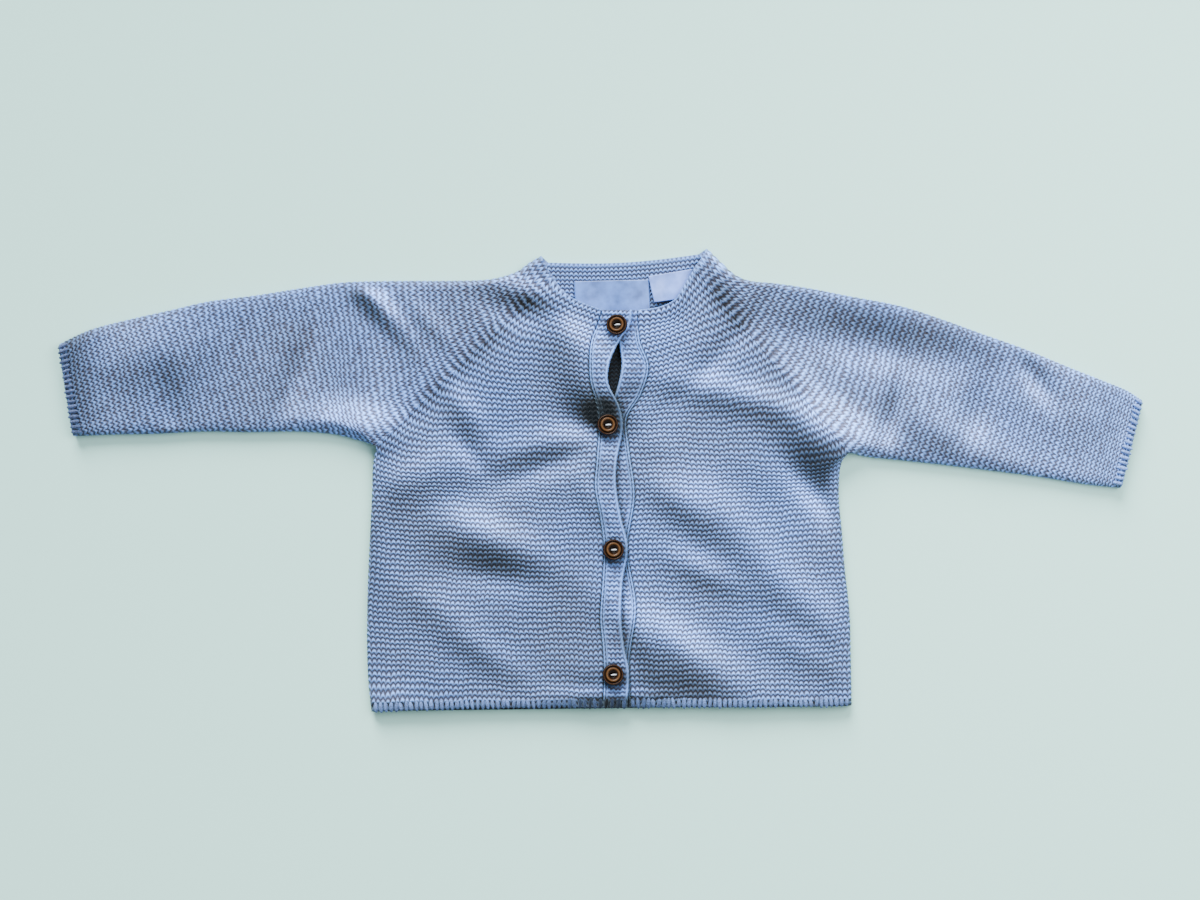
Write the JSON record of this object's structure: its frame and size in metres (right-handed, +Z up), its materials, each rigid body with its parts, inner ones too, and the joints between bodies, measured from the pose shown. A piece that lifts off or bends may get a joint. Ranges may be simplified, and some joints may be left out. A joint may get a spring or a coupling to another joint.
{
  "type": "baby cardigan",
  "caption": "Hand-knitted raglan baby cardigan, buttoned down the front with round wooden buttons and laid out flat on its back.",
  "frame": {"origin": "centre of the overall box at the surface that the cardigan lies on", "axes": "+X to the right across the sleeves as seen from above, +Y from the hem towards the neck, +Z up from the surface"},
  "size_m": [0.629, 0.269, 0.0128],
  "materials": {
    "knit": "pale grey-blue wool, hand knitted, matt",
    "band_knit": "pale grey-blue wool, finer ridged knit, matt",
    "button_wood": "dark brown polished wood",
    "label_satin": "white woven satin, bare"
  },
  "bodies": {
    "root": {"back": "knit", "front_left": "knit", "front_right": "knit", "sleeve_left": "knit", "sleeve_right": "knit", "button_band": "band_knit", "buttonhole_band": "band_knit", "button_1": "button_wood", "button_2": "button_wood", "button_3": "button_wood", "button_4": "button_wood", "neck_label": "label_satin", "care_tag": "label_satin"}
  },
  "joints": []
}
